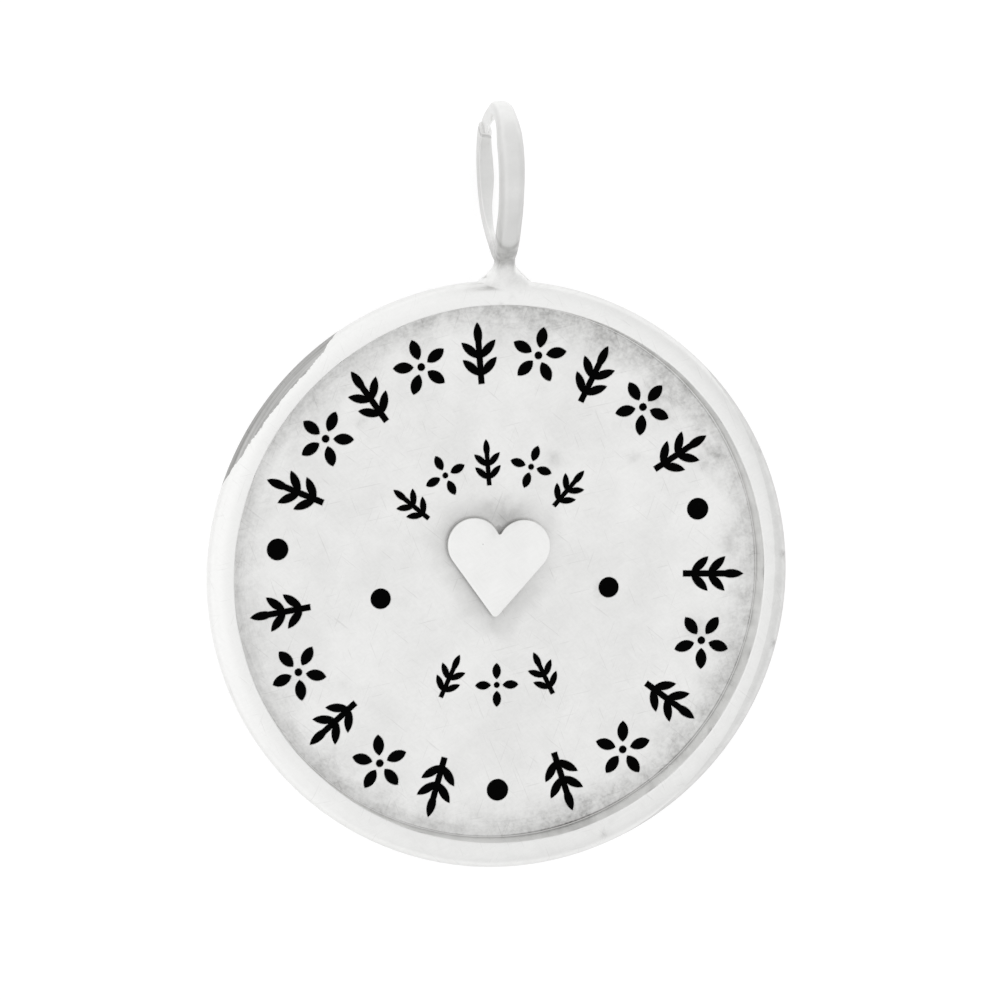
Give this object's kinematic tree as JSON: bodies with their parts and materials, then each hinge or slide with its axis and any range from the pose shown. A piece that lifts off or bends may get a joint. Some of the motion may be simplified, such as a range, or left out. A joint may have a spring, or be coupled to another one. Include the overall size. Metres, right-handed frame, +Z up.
{
  "type": "disc charm",
  "caption": "Round silver disc charm with a raised rim, a raised heart, engraved black sprigs, blossoms and dots, and a soldered bail ring.",
  "frame": {"origin": "middle of the charm's footprint on the surface it lies on", "axes": "+Z up from the surface, +Y from the disc towards the bail ring, +X to the right seen from the face"},
  "size_m": [0.019, 0.0247, 0.0053],
  "materials": {
    "silver": "satin sterling silver, polished rim, grey patina in the corners",
    "black_enamel": "matte black filling in the engraving"
  },
  "bodies": {
    "root": {"silver_body": "silver", "outer_inlay": "black_enamel", "inner_inlay": "black_enamel", "dot_inlay": "black_enamel"}
  },
  "joints": []
}
